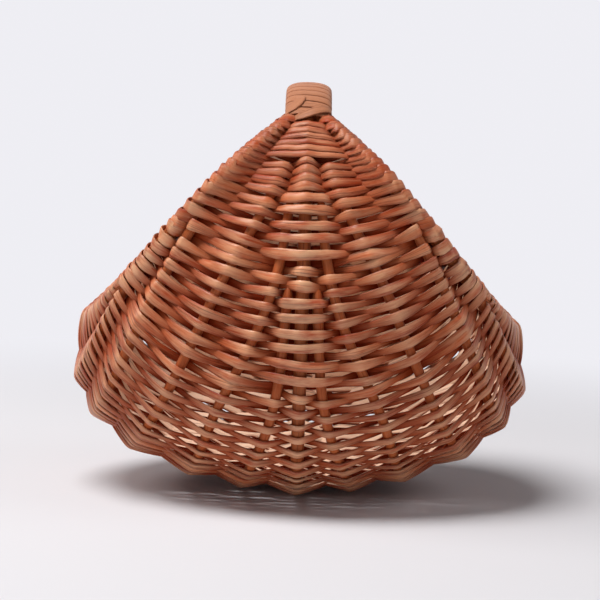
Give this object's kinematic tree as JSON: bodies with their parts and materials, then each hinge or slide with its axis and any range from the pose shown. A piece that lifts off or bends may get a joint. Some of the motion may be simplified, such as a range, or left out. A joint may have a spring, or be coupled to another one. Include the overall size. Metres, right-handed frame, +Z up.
{
  "type": "wicker basket",
  "caption": "Rib-built willow basket: wrapped hoop handle over a round woven belly that is open on both sides.",
  "frame": {"origin": "on the floor plane under the middle of the basket, at the flat foot of the lowest weaver", "axes": "+Z up; the handle runs along Y; the left mouth faces -X and the right mouth faces +X"},
  "size_m": [0.2876, 0.2216, 0.2578],
  "materials": {
    "hoop": "stained willow rod, satin",
    "rib": "stained willow rod, satin",
    "weave": "stained buff willow, satin",
    "skein": "split willow skein, satin"
  },
  "bodies": {
    "root": {"keel_hoop": "hoop", "rim_hoop_left": "hoop", "rim_hoop_right": "hoop", "rib_left_1": "rib", "rib_right_1": "rib", "rib_left_2": "rib", "rib_right_2": "rib", "rib_left_3": "rib", "rib_right_3": "rib", "rib_left_4": "rib", "rib_right_4": "rib", "rib_left_5": "rib", "rib_right_5": "rib", "weaver_01": "weave", "weaver_02": "weave", "weaver_03": "weave", "weaver_04": "weave", "weaver_05": "weave", "weaver_06": "weave", "weaver_07": "weave", "weaver_08": "weave", "weaver_09": "weave", "weaver_10": "weave", "weaver_11": "weave", "weaver_12": "weave", "weaver_13": "weave", "weaver_14": "weave", "weaver_15": "weave", "weaver_16": "weave", "weaver_17": "weave", "weaver_18": "weave", "weaver_19": "weave", "weaver_20": "weave", "weaver_21": "weave", "weaver_22": "weave", "weaver_23": "weave", "handle_skein": "skein"}
  },
  "joints": []
}
